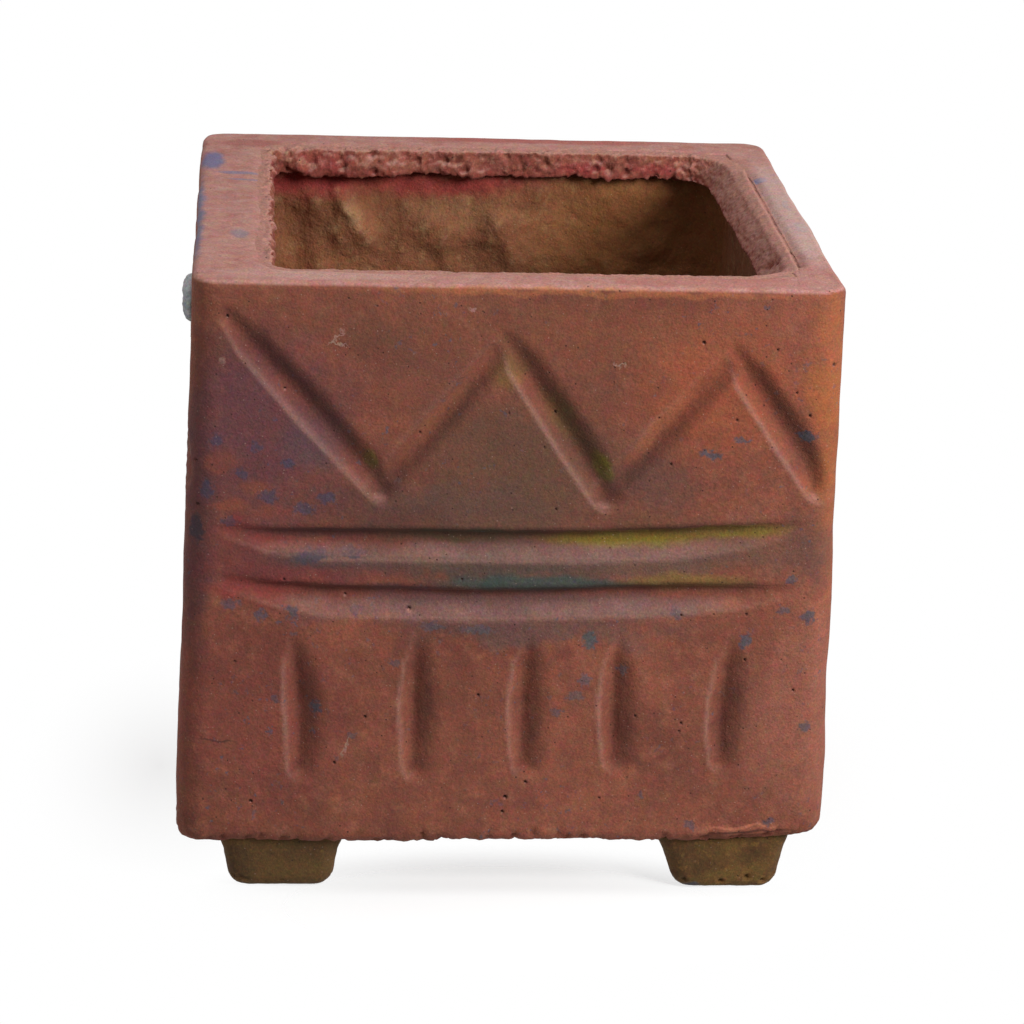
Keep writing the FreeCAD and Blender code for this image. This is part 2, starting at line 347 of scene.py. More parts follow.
def make_coat():
    """Face coat: walls with the pressed pattern, and the skim that runs from them over the collar."""
    coat = block("red_face_coat", (-TOP_HALF, -TOP_HALF, FOOT), (TOP_HALF, TOP_HALF, RIM))
    choose(coat, "FACE", lambda face: face.normal.z < -LEVEL)
    spread = BASE_HALF / TOP_HALF
    bpy.ops.transform.resize(value=(spread, spread, 1), center_override=(0, 0, FOOT * MM))
    choose(coat, "EDGE", lambda edge: abs(span(edge).z) > 100)
    bevel(CORNER_ROUND, 8)
    choose(coat, "EDGE", lambda edge: min(heights(edge)) > RIM - 0.01)
    bevel(RIM_ROUND, 4)
    choose(coat, "EDGE", lambda edge: max(heights(edge)) < FOOT + 0.01)
    bevel(LOWER_ROUND, 5)
    # A tube joins the two insets. Its upper loop is the skim's underside, its lower one the walls' inside.
    choose(coat, "FACE", lambda face: abs(face.normal.z) > LEVEL and len(face.verts) > 8)
    bpy.ops.mesh.inset(thickness=4 * MM, use_individual=True)
    bpy.ops.mesh.bridge_edge_loops()
    choose(coat, "EDGE", lambda edge: abs(span(edge).z) > 100
           and all(z < FOOT + 0.1 or z > RIM - 0.1 for z in heights(edge)))
    bpy.ops.mesh.subdivide(number_cuts=2)
    object_mode()
    points = places(coat)
    ring = np.abs(points[:, :2]).max(axis=1)
    height = points[:, 2]
    inner_top = (height > RIM - 0.1) & (ring < 95)
    inner_low = (height < FOOT + 0.1) & (ring < 95.5)
    upper_loop = (height > 120) & (height < RIM - 10)
    lower_loop = (height > FOOT + 10) & (height < 110)
    left, right, front, back = MOUTH
    for loop in (inner_top, upper_loop):
        points[loop, 0] = np.clip(points[loop, 0] * 1.2, left, right)
        points[loop, 1] = np.clip(points[loop, 1] * 1.2, front, back)
    for loop, half in ((lower_loop, TOP_HALF), (inner_low, BASE_HALF)):
        points[loop, :2] = np.clip(points[loop, :2] * 1.2, WALL - half, half - WALL)
    points[upper_loop, 2] = RIM - SKIM
    points[lower_loop, 2] = RIM - SKIM - 0.3
    set_places(coat, points)
    pick(coat)
    bpy.ops.object.mode_set(mode="EDIT")
    bpy.ops.mesh.select_all(action="SELECT")
    bpy.ops.mesh.remove_doubles(threshold=0.01 * MM)
    # Fine columns on the front, wider ones on the other sides, then rows, then the rim's rings
    split(coat, lambda edge, long: abs(span(edge).x) > long and edge.verts[0].co.y < 0, FRONT_CUTS)
    split(coat, lambda edge, long: abs(span(edge).x) > long and edge.verts[0].co.y > 0, SIDE_CUTS)
    split(coat, lambda edge, long: abs(span(edge).y) > long, SIDE_CUTS)
    split(coat, lambda edge, long: abs(span(edge).z) > long
          and all(ring_of(vert) > 95.9 for vert in edge.verts), ROW_CUTS)
    choose(coat, "EDGE", lambda edge: min(heights(edge)) > RIM - 0.05
           and abs(ring_of(edge.verts[0]) - ring_of(edge.verts[1])) > 10)
    bpy.ops.mesh.subdivide(number_cuts=RING_CUTS)
    choose(coat, "FACE", near_pore)
    bpy.ops.mesh.subdivide(number_cuts=2)
    bpy.ops.mesh.select_all(action="SELECT")
    bpy.ops.mesh.normals_make_consistent(inside=False)
    object_mode()
    shape_coat(coat)
    return coat


# Accidents of the cast: how far its lower left bulges out and sags, how far its lower right corner is
# lifted, and how far a line of flash stands out over the right foot
BULGE = 0.9
SAG = 0.8
LIFT = 2.2
FLASH = 1.6
# Where the skim stops at the joint line on the right of the rim
JOINT_LINE = 89.5


def shape_coat(coat):
    """Presses the pattern into the walls, and gives them and the rim their handmade waver."""
    points = places(coat)
    side, right, down = on_sides(points)
    facing = normals(coat)
    ring = np.abs(points[:, :2]).max(axis=1)
    outer = (ring > TOP_HALF - 3) & (down > 2.3) & (facing[:, 2] > -0.5)
    depth, shoulder, crease, pit = np.zeros((4, len(points)))
    for kind in MARKS:
        for run in MARKS[kind][0]:
            mark_depth, mark_shoulder, mark_painted_shade = press(kind, run, right, down)
            depth = np.maximum(depth, mark_depth * outer)
            shoulder = np.maximum(shoulder, mark_shoulder * outer)
            crease = np.maximum(crease, mark_painted_shade * outer)
    for at, pores in PORES.items():
        for across, low, radius in pores:
            away = np.hypot(right - across, down - low) / (radius * 0.8)
            pit = np.maximum(pit, (side == at) * outer * ramp(away, 1.15, 0.35) * radius)
    out = facing * (1, 1, 0)
    out /= np.maximum(np.linalg.norm(out, axis=1), 1e-6)[:, None]
    points -= out * (depth + pit * 1.1)[:, None]
    points += out * (shoulder * 0.2)[:, None]
    waver = wander(points, 22, 1.0) * 0.4 + wander(points, 7, 2.0) * 0.15
    points += out * (waver * ramp(ring, 96, 99))[:, None]
    x, y, z = points.T
    low_share = ramp(down, 120, 180)
    points[:, 0] -= BULGE * ramp(x, -60, -100) * ramp(down, 60, 180)
    points[:, 2] -= SAG * ramp(x, -10, -40) * low_share
    points[:, 2] += LIFT * ramp(x, 62, 102) * low_share * ramp(y, 0, -90)
    points[:, 2] += wander(points, 6, 4.0) * 0.35 * ramp(down, 178, 183)
    flash = (side == 0) * ramp(right, 58, 66) * ramp(right, 93, 88)
    flash *= hump(down, 179.4, 0.8) - 0.5 * hump(down, 181.4, 0.8)
    points += out * (flash * FLASH)[:, None]
    thin_skim(points, ring, down, facing)
    set_places(coat, points)
    # The bottom edge broke where the mould was parted, and is pitted
    weigh(coat, "edge", ramp(down, 175.5, 180.5) * (ring > 96))
    roughen(coat, "CLOUDS", 3, 1.3, "edge", noise_depth=2)
    roughen(coat, "VORONOI", 4, 1.4, "edge", mid_level=1.0, contrast=5, intensity=2.6)
    roughen(coat, "CLOUDS", 9, 0.3, noise_depth=3)
    # Mask of the pores' pits, for the painted shade in them
    keep(coat, "pit", pit * 1.6)
    # Masks for the material: painted shade on each mark's side turned from the light, darker red in its
    # hollow that is partly painted shade, and lime on its shoulders that is partly painted highlight
    keep(coat, "crease", crease)
    keep(coat, "pressed", depth / STROKE_DEPTH)
    keep(coat, "shoulder", shoulder)


def thin_skim(points, ring, down, facing):
    """Thins the skim out to a ragged edge round the mouth, and stops it at the joint line on the right."""
    upper = (down < 2.4) & (ring < 98.6) & (facing[:, 2] ** 2 > 0.2) | (down < 2.4) & (ring < 84)
    start = points.copy()
    ragged = wander(start, 5, 0.5) * 0.9 + wander(start, 1.9, 2.0) * 0.7
    left, right, front, back = MOUTH
    # How far the edge of the skim stays away from the mouth on each side
    left_gap = 0.8 + wander(start, 5, 0.5) * 0.6
    front_gap = 0.9 + wander(start, 13, 0.5) * 0.9
    back_gap = 2.0 + ragged * 0.8
    beside = ramp(start[:, 1], -74, -69) * ramp(start[:, 1], 64, 48)
    right_gap = back_gap + beside * (JOINT_LINE + ragged * 0.25 - right - back_gap)
    for axis, edge, gap in ((0, left, left_gap), (0, right, right_gap),
                            (1, front, front_gap), (1, back, back_gap)):
        way = np.sign(edge)
        across = start[:, axis]
        reach = np.clip((across - edge) / ((TOP_HALF - 1) * way - edge), 0, 1)
        beyond = (across - edge) * way > -0.1
        points[:, axis] += (upper & beyond) * way * gap * (1 - reach)
    skim_edge = hump(np.maximum(mouth_gap(start), 0), 0, 3.2)
    top = (down < 0.05) & (ring < 98.5)
    points[top, 2] -= (skim_edge * 1.3)[top]
    points[top, 2] += (wander(points, 17, 3.0) * 0.25)[top]


# How far the collar lies under the skim, and the size of its mesh's faces
COLLAR_SUNK = 0.45
COLLAR_GRAIN = 0.62
# How far the mouth's right corners shift to make its slope: whether upper, whether at the back, and how far
MOUTH_SHIFTS = [(True, False, 5), (True, True, 3.5), (False, False, -7), (False, True, -10)]
# Holes, hanging lumps and crumbs of the collar, where the photo shows them: place (x, y and height over
# the rim), reach, and how far the surface is pushed
COLLAR_LUMPS = [
    ((43, 79.5, -6), 1.4, (0, 3.4, 0)), ((71, 79.5, -6), 1.5, (0, 3.4, 0)),
    ((43, 78.5, -9.5), 2.2, (0, -1.2, -1.2)), ((-6, 79, -9.5), 5, (0, -1.2, -1.0)),
    ((-60, 79, -9), 6, (0, -2.6, -0.6)), ((-46, 79, -9), 7, (0, -2.8, -0.8)),
    ((-33, 79, -8.5), 6, (0, -2.2, -0.4)), ((80, -53, -5), 2.6, (3.0, 0, -1.4)),
    ((81.5, -58, -3), 1.8, (2.4, -1.2, -1.4)), ((-77, 46, 0), 1.6, (1.4, 0, 1.0)),
    ((-75, 72, 0), 2.0, (1.2, -1.0, 0.8)), ((-77, -63, 0), 1.8, (1.4, 0, 0.6)),
    ((76, -7, -8), 1.8, (-1.6, 0, 0)), ((-70, 79, -3), 3, (1.2, -2.4, 0)),
    ((-66, 79, -7), 2.6, (0, -2.2, -0.8)), ((-76, 66, -2), 2.6, (2.0, 0, 0)),
    ((-76, 57, -4), 2, (1.8, 0, 0)), ((-76, 30, -3), 1.8, (1.4, 0, 0)),
    ((-76, 5, -2), 1.6, (1.2, 0, 0)), ((-76, -25, -2), 2, (1.2, 0, 0)),
    ((-76, -45, -3), 1.6, (1.4, 0, 0)), ((-15, 80, -4), 1.3, (0, 1.8, 0)),
    ((-58, 80, -5), 1.3, (0, 2.0, 0)), ((12, 80, -7), 1.2, (0, 1.8, 0)),
]


def make_collar():
    """Collar round the mouth, of rough mix: its inner face is crumbly and full of holes."""
    low, high = box_of("mouth_collar")
    top = high.z - COLLAR_SUNK
    collar = block("rough_mouth_collar", low, (high.x, high.y, top))
    object_mode()
    left, right, front, back = MOUTH
    mouth = block("mouth_tool", (left, front, low.z - 5), (right, back, high.z + 5))
    for is_high, is_back, shift in MOUTH_SHIFTS:
        choose(mouth, "VERT", lambda vert: vert.co.x > 0 and (vert.co.z > high.z * MM) == is_high
               and (vert.co.y > 0) == is_back)
        bpy.ops.transform.translate(value=(shift * MM, 0, 0))
    for radius, segments, way in ((MOUTH_LARGE_RADIUS, 8, 1), (MOUTH_SMALL_RADIUS, 5, -1)):
        choose(mouth, "EDGE", lambda edge: abs(span(edge).z) > 5
               and all(vert.co.x * way > 0 for vert in edge.verts))
        bevel(radius, segments)
    object_mode()
    modify(collar, "BOOLEAN", object=mouth, operation="DIFFERENCE", solver="EXACT")
    bpy.data.objects.remove(mouth)
    remesh(collar, COLLAR_GRAIN)
    points = places(collar)
    x, y, z = points.T
    gap = mouth_gap(points)
    drop = (top - z) / (high.z - low.z)
    # A thin ridge runs along the top of the slope, beside the joint line
    right_top = ramp(x, 60, 68) * ramp(y, -78, -72) * ramp(y, 62, 50) * ramp(drop, 0.5, 0)
    ridge = hump(x, 87.4, 1.2) * 0.7
    joint = hump(x, 89.1, 0.8) * 1.3
    points[:, 2] += right_top * (ridge - joint - ramp(x, 86, 83) * 0.8)
    # Its lip bulges and retreats along the mouth, and hangs lower in places
    near = hump(gap, 0, 4)
    on_x = np.abs(x) / 80 > np.abs(y) / 81
    inward = -np.stack([np.where(on_x, np.sign(x), 0), np.where(on_x, 0, np.sign(y)), 0 * x], axis=1)
    lip = ramp(drop, 0, 1 / 1.4)
    bulge = wander(points, 9, 1.5) * 0.5 + wander(points, 3, 0.4) * 0.15
    points += inward * (near * (bulge + lip * 0.6))[:, None]
    points[:, 2] -= near * lip * (wander(points, 12, 3.3) + 0.4) * 0.6
    for centre, reach, push in COLLAR_LUMPS:
        away = np.linalg.norm(points - np.add(centre, (0, 0, RIM)), axis=1)
        points += hump(away, 0, reach)[:, None] * push
    set_places(collar, points)
    # The mouth's face crumbles, least at the front, and the slope on the right was smoothed by hand
    loose = hump(np.maximum(mouth_gap(points), 0), 0, np.where(x < -70, 2.2, 3.2))
    slope = ramp(x, 72, 76) * ramp(x, 88, 85)
    from_front = 0.25 + 0.75 * ramp(y, -78, -66)
    weigh(collar, "holes", loose * (1 - slope) * from_front)
    weigh(collar, "crumbs", np.maximum(loose * (1 - slope * 0.6), slope * 0.22) * from_front)
    roughen(collar, "CLOUDS", 5, 1.3, "crumbs", noise_depth=1)
    roughen(collar, "CLOUDS", 2, 1.0, "crumbs", noise_depth=1)
    modify(collar, "SMOOTH", factor=0.5, iterations=1)
    roughen(collar, "VORONOI", 5.2, 1.2, "holes", mid_level=1.0, contrast=5, intensity=4.8)
    roughen(collar, "CLOUDS", 1.2, 1.0, "crumbs", noise_depth=0)
    roughen(collar, "CLOUDS", 1.0, 0.2, noise_depth=1)
    return collar


# Smears of mortar on the lining, for each wall from the front one: their ends (right, down), with the width
# of a smear and how high it stands
SMEAR_WIDTH = 26
SMEAR_HEIGHT = 3.2
SMEARS = [
    [((-60, 40), (-18, 66)), ((2, 132), (50, 106))],
    [((-56, 92), (-12, 59)), ((14, 110), (52, 139))],
    [((62, 20), (33, 42)), ((14, 44), (-28, 24)), ((-36, 59), (-62, 37)), ((54, 103), (8, 77)),
     ((-6, 125), (-54, 99))],
    [((4, 55), (52, 40)), ((-46, 136), (-2, 106))],
]
# The most that the lining stands in over its wall, the rounding of its corners, the width of its rings above
# and below, and the size of its mesh's faces
LINING_MOST = 5.4
LINING_ROUND = 16
LINING_RING = 6
LINING_GRAIN = 1.6
# Smaller lumps and hollows on the back wall: right, down, width and height
LUMPS = [
    (52, 17, 4, 3.0), (48.5, 23, 3.6, 3.4), (45, 28.5, 3.4, 3.2), (41, 34, 3.6, 2.6), (60, 20, 5, 2.0),
    (69, 30, 7, -2.6), (65, 40, 6, -1.6), (20, 30, 8, 1.8), (12, 34, 7, 2.0), (6, 38, 5, -2.0),
    (-6, 24, 8, 1.6), (-18, 18, 9, 1.8), (-2, 40, 6, -1.4), (-58, 36, 6, 1.8), (-50, 42, 5, 1.2),
    (58, 44, 5, 1.6), (28, 44, 6, 1.2), (-34, 24, 12, -1.4),
]


def smear_height(right, down, start, end):
    """Height of a smear: two cones end to end, sunk in the wall, with a softened foot."""
    girth = (SMEAR_WIDTH ** 2 / 4 + SMEAR_HEIGHT ** 2) / (2 * SMEAR_HEIGHT)
    sunk = girth - SMEAR_HEIGHT
    tip = sunk * 0.9
    (x0, y0), (x1, y1) = start, end
    run = math.hypot(x1 - x0, y1 - y0)
    along = ((right - x0) * (x1 - x0) + (down - y0) * (y1 - y0)) / run ** 2
    away = ((right - x0) * (y1 - y0) - (down - y0) * (x1 - x0)) / run
    radius = tip + (girth - tip) * (1 - np.abs(2 * along - 1))
    height = np.sqrt(np.maximum(radius ** 2 - away ** 2, 0)) - sunk
    height = np.where((along < 0) | (along > 1), -4, height)
    return 0.5 * (height + np.sqrt(height ** 2 + 0.5))


def make_lining():
    """Lumpy mortar lining, smeared on by hand."""
    low, high = box_of("wall_lining")
    half = TOP_HALF - WALL
    lining = block("smeared_lining", (-half, -half, low.z), (half, half, high.z))
    choose(lining, "FACE", lambda face: face.normal.z < -LEVEL)
    spread = high.x / half
    bpy.ops.transform.resize(value=(spread, spread, 1), center_override=(0, 0, low.z * MM))
    choose(lining, "EDGE", lambda edge: abs(span(edge).z) > 50)
    bevel(LINING_ROUND, 6)
    choose(lining, "FACE", lambda face: abs(face.normal.z) > LEVEL)
    bpy.ops.mesh.inset(thickness=LINING_RING * MM, use_individual=True)
    bpy.ops.mesh.bridge_edge_loops()
    object_mode()
    remesh(lining, LINING_GRAIN)
    points = places(lining)
    side, right, down = on_sides(points)
    facing = -(normals(lining) * OUTWARD[side]).sum(axis=1)
    inner = ramp(facing, 0.2, 0.7)
    height = wander(points, 13, 0.7) * 0.7
    for index, smears in enumerate(SMEARS):
        for start, end in smears:
            height += smear_height(right, down, start, end) * (side == index)
    for lump_right, lump_down, width, rise in LUMPS:
        height += rise * hump(np.hypot(right - lump_right, down - lump_down), 0, width) * (side == 2)
    points -= OUTWARD[side] * (np.minimum(height, LINING_MOST) * inner)[:, None]
    set_places(lining, points)
    weigh(lining, "inner", inner)
    roughen(lining, "CLOUDS", 9, 1.8, "inner", noise_depth=2, noise_type="HARD_NOISE")
    roughen(lining, "CLOUDS", 2.6, 0.8, "inner", noise_depth=2)
    return lining


# Rounding of the slab's edges, its drain hole and the tool that cuts it, and the size of its mesh's faces
SLAB_ROUND = 3
DRAIN_RADIUS = 7
DRAIN_TOOL = 50
SLAB_GRAIN = 1.7


def make_slab():
    """Slab of mortar that closes the pot below, with its drain hole."""
    low, high = box_of("base_slab")
    slab = block("mortar_base_slab", low, high)
    choose(slab, "EDGE", lambda edge: True)
    bevel(SLAB_ROUND, 3)
    object_mode()
    bpy.ops.object.select_all(action="DESELECT")
    bpy.ops.mesh.primitive_cylinder_add(vertices=40, radius=DRAIN_RADIUS * MM, depth=DRAIN_TOOL * MM,
                                        location=(0, 0, (low.z + high.z) / 2 * MM))
    drain = bpy.context.object
    modify(slab, "BOOLEAN", object=drain, operation="DIFFERENCE", solver="EXACT")
    bpy.data.objects.remove(drain)
    remesh(slab, SLAB_GRAIN)
    roughen(slab, "CLOUDS", 12, 2.0, noise_depth=2)
    roughen(slab, "CLOUDS", 3, 0.6, noise_depth=2)
    return slab


# Shares of a foot's length and width that its bottom keeps, its roundings, and the size of its mesh's faces
FOOT_TAPER_SHARES = (0.86, 0.93)
FOOT_CORNER_ROUND = 6
FOOT_LOWER_ROUND = 4.2
FOOT_GRAIN = 0.8


def make_foot(node):
    """Foot: a tapered block of mortar, round at its lower corners, with pits along its bottom."""
    low, high = box_of(node)
    foot = block(node.replace("foot", "mortar_foot"), low, high)
    middle = (low + high) / 2
    choose(foot, "FACE", lambda face: face.normal.z < -LEVEL)
    bottom_middle = Vector((middle.x, middle.y, low.z)) * MM
    bpy.ops.transform.resize(value=(*FOOT_TAPER_SHARES, 1), center_override=bottom_middle)
    choose(foot, "EDGE", lambda edge: abs(span(edge).z) > 5)
    bevel(FOOT_CORNER_ROUND, 6)
    choose(foot, "EDGE", lambda edge: max(heights(edge)) < low.z + 0.1)
    bevel(FOOT_LOWER_ROUND, 5)
    object_mode()
    remesh(foot, FOOT_GRAIN)
    points = places(foot)
    x, y, z = points.T
    height = (z - low.z) / (high.z - low.z)
    # It flares where it meets the coat
    across = x - middle.x
    points[:, 0] += 1.2 * np.sign(across) * ramp(height, 0.6, 1) * ramp(np.abs(across), 8, 16)
    points[:, 0] += wander(points, 14, 2.0) * 0.3
    points[:, 1] += wander(points, 14, 5.0) * 0.3
    on_right = middle.x > 0
    if on_right:
        # The right feet lean in more on their left, and the front one reaches up to the coat's lifted corner
        points[:, 0] += 2.4 * ramp(height, 1, 0) * ramp(x - middle.x, 4, -10)
        points[:, 2] += 2.0 * ramp(x, 62, 96) * ramp(height, 0.5, 1) * (middle.y < 0)
    set_places(foot, points)
    roughen(foot, "CLOUDS", 4, 0.4, noise_depth=3)
    weigh(foot, "pitted", ramp(height, 0.36, 0.22) * ramp(height, 0.1, 0.16) * (1 if on_right else 0.4))
    roughen(foot, "VORONOI", 3.4, 1.6, "pitted", mid_level=1.0, contrast=5, intensity=2.2)
    points = places(foot)
    points[:, 2] = np.maximum(points[:, 2], low.z)
    set_places(foot, points)
    return foot


def make_spill():
    """Lump of grey mortar that set on the left side, just under the rim."""
    low, high = box_of("mortar_spill")
    middle = (low + high) / 2
    bpy.ops.object.select_all(action="DESELECT")
    bpy.ops.mesh.primitive_ico_sphere_add(subdivisions=5, radius=1 * MM, location=(0, 0, 0))
    spill = bpy.context.object
    spill.name = spill.data.name = "grey_mortar_spill"
    points = places(spill)
    points *= (high.x - low.x, (high.y - low.y) / 2, (high.z - low.z) * 0.56)
    points += (high.x, middle.y, middle.z - 1)
    points[:, 0] += wander(points, 3.5, 1.0) * 0.5
    points[:, 2] += wander(points, 4, 2.0) * 0.8
    set_places(spill, points)
    roughen(spill, "CLOUDS", 2, 0.8, noise_depth=2)
    return spill


def linear(code):
    """Linear colour with alpha of an sRGB hex value."""
    channels = [int(code[i:i + 2], 16) / 255 for i in (1, 3, 5)]
    return tuple(c / 12.92 if c <= 0.04045 else ((c + 0.055) / 1.055) ** 2.4 for c in channels) + (1.0,)


def add(tree, kind, inputs=None, output=0, **settings):
    """Adds a shader node with its settings, values and links, and returns its output socket."""
    made = tree.nodes.new("ShaderNode" + kind)
    for name, value in settings.items():
        setattr(made, name, value)
    for key, value in (inputs or {}).items():
        if isinstance(value, bpy.types.NodeSocket):
            tree.links.new(value, made.inputs[key])
        else:
            made.inputs[key].default_value = value
    return made.outputs[output] if made.outputs else made


def blend(tree, colour, pigment, share):
    """Lays a pigment over a colour where a share says so."""
    if isinstance(pigment, str):
        pigment = linear(pigment)
    return add(tree, "MixRGB", {"Fac": share, "Color1": colour, "Color2": pigment})


def mapped(tree, value, start, end, most=1.0, **settings):
    """A share that goes from 0 to its most while a value goes from start to end."""
    return add(tree, "MapRange", {"Value": value, "From Min": start, "From Max": end, "To Max": most},
               **settings)


def times(tree, value, factor):
    """A value times another."""
    return add(tree, "Math", {0: value, 1: factor}, operation="MULTIPLY")


def noise(tree, place, size, detail, roughness=0.5, output=0):
    """Noise of a real size."""
    return add(tree, "TexNoise", {"Vector": place, "Scale": 1 / (size * MM), "Detail": detail,
                                  "Roughness": roughness}, output)


def cloudy(tree, place, size, low, high, strength=1.0):
    """A share that comes and goes in clouds of a real size, from low to high of the noise."""
    return mapped(tree, noise(tree, place, size, 3.0, 0.6), low, high, strength)


def hue_noise(tree, place, size, detail):
    """Noise in three channels of a real size, round 0."""
    hues = noise(tree, place, size, detail, output="Color")
    return add(tree, "VectorMath", {0: hues, 1: (0.5,) * 3}, operation="SUBTRACT")


def bent(tree, place, size, reach):
    """Coordinates bent by noise, so a spot laid with them gets a ragged outline."""
    bend = hue_noise(tree, place, size, 3.0)
    offset = add(tree, "VectorMath", {0: bend, "Scale": reach * MM}, operation="SCALE")
    return add(tree, "VectorMath", {0: place, 1: offset})


def spots(tree, colour, place, laid, edge):
    """Lays spots of pigment: each has its pigment, strength, centre, radii and turn."""
    for pigment, strength, centre, radii, turn in laid:
        local = add(tree, "Mapping", {"Vector": place, "Location": Vector(centre) * MM,
                                      "Rotation": (0, math.radians(turn), 0), "Scale": Vector(radii) * MM},
                    vector_type="TEXTURE")
        round_share = add(tree, "TexGradient", {"Vector": local}, output="Fac", gradient_type="SPHERICAL")
        share = mapped(tree, round_share, 0, edge, strength, interpolation_type="SMOOTHSTEP")
        colour = blend(tree, colour, pigment, share)
    return colour


def on_front(laid):
    """Spots on the front face, given by right and down, as spots in space."""
    return [(pigment, strength, (right, -TOP_HALF - 1, RIM - down), (wide, 14, high), turn)
            for pigment, strength, right, down, wide, high, turn in laid]


def on_rim(laid):
    """Spots on the rim, given by x and y, as spots in space."""
    return [(pigment, strength, (x, y, RIM), (wide, long, 9), 0)
            for pigment, strength, x, y, wide, long in laid]


def cement(name):
    """Starts a cement material, matt and dry: its tree, shader and object coordinates."""
    material = bpy.data.materials.new(name)
    material.use_nodes = True
    tree = material.node_tree
    shader = tree.nodes["Principled BSDF"]
    shader.inputs["IOR"].default_value = 1.5
    shader.inputs["Roughness"].default_value = 0.9
    shader.inputs["Specular IOR Level"].default_value = 0.3
    return material, tree, shader, add(tree, "TexCoord", output="Object")


def finish_cement(tree, shader, place, colour, grain, lumps, pores):
    """Adds sand grain, pale sand, pores darkened with painted shade and the bump that goes with them."""
    fine = noise(tree, place, 0.7, 2.0)
    shade = add(tree, "MapRange", {"Value": fine, "From Min": 0.3, "From Max": 0.7, "To Min": 1 - grain,
                                   "To Max": 1 + grain})
    colour = add(tree, "VectorMath", {0: colour, "Scale": shade}, operation="SCALE")
    # Grains of several pigments and sands, each a little off in hue
    for size, share in ((0.9, 0.55), (3.4, 0.4)):
        hues = hue_noise(tree, place, size, 2.0)
        factor = add(tree, "VectorMath", {0: hues, 1: (share,) * 3, 2: (1,) * 3}, operation="MULTIPLY_ADD")
        colour = add(tree, "VectorMath", {0: colour, 1: factor}, operation="MULTIPLY")
    sand = add(tree, "TexVoronoi", {"Vector": place, "Scale": 1 / (2.4 * MM)}, output="Distance")
    colour = blend(tree, colour, "#B49A8C", mapped(tree, sand, 0.10, 0.06, 0.25))
    # Pores, with painted shade where the bump below sinks them
    holes = add(tree, "TexVoronoi", {"Vector": place, "Scale": 1 / (4.3 * MM)}, output="Distance")
    hole = mapped(tree, holes, 0.085, 0.045, pores)
    colour = blend(tree, colour, "#2E1712", hole)
    tree.links.new(colour, shader.inputs["Base Color"])
    soft = noise(tree, place, 3.2, 4.0, 0.65)
    depth = add(tree, "Math", {0: fine, 1: hole}, operation="SUBTRACT")
    first = add(tree, "Bump", {"Height": soft, "Distance": lumps * MM, "Strength": 1.0})
    second = add(tree, "Bump", {"Height": depth, "Distance": 0.16 * MM, "Strength": 1.0, "Normal": first})
    tree.links.new(second, shader.inputs["Normal"])


def facing_up(tree, start, end, most=1.0, **settings):
    """Share of what faces up, where lime dust lies."""
    normal = add(tree, "TexCoord", output="Normal")
    up = add(tree, "SeparateXYZ", {"Vector": normal}, output="Z")
    return mapped(tree, up, start, end, most, **settings)


def hollow_shade_and_pale_crumbs(tree, colour, dark, pale):
    """Painted shade in the hollows of the mesh, and pale on its crumbs, partly painted highlight."""
    edge = add(tree, "NewGeometry", output="Pointiness")
    colour = blend(tree, colour, dark, mapped(tree, edge, 0.48, 0.40, 0.6))
    return blend(tree, colour, pale, mapped(tree, edge, 0.52, 0.62, 0.6))


# Pigment washed into the front face, from the photo: pigment, strength, right and down of its
# middle, half width, half height and turn. Tints and flecks are given alike.
WASHES = [
    ("#4E2E38", 0.75, -78, 48, 42, 46, 0), ("#452A30", 0.6, -99, 85, 10, 62, 0),
    ("#5E3A2E", 0.6, -26, 30, 50, 18, 40), ("#4F3E2E", 0.8, 2, 58, 50, 28, 0),
    ("#4E4038", 0.7, -24, 70, 56, 13, 0), ("#553C34", 0.55, 44, 62, 24, 11, 0),
    ("#84432A", 0.75, 62, 30, 38, 34, 0), ("#90502A", 0.75, 100, 40, 14, 78, 0),
    ("#915A49", 0.5, 92, 136, 24, 56, 0), ("#5E262C", 0.7, -66, 90, 46, 12, 0),
    ("#40403A", 0.9, -4, 90, 62, 9, 0), ("#5C4236", 0.75, 64, 84, 38, 12, 0),
    ("#72282A", 0.6, -80, 80, 22, 6, 0), ("#78292A", 0.6, -78, 98, 26, 6, 0),
    ("#583A42", 0.75, -18, 103, 60, 7, 0), ("#4E3E3C", 0.6, 8, 110, 62, 7, 0),
    ("#6E352E", 0.5, -80, 140, 46, 46, 0), ("#8A4C34", 0.45, 40, 18, 50, 16, 0),
    ("#55454A", 0.6, 10, 85, 62, 4, 0), ("#4A3428", 0.5, 0, 82, 84, 17, 0),
    ("#5E3826", 0.45, 0, 14, 100, 16, 0), ("#563526", 0.45, 24, 30, 26, 18, 0),
    ("#4A2C26", 0.5, -44, 74, 30, 12, 0), ("#563A32", 0.7, 94, 80, 14, 20, 0),
    ("#5C2F26", 0.3, -20, 60, 110, 60, 0),
]
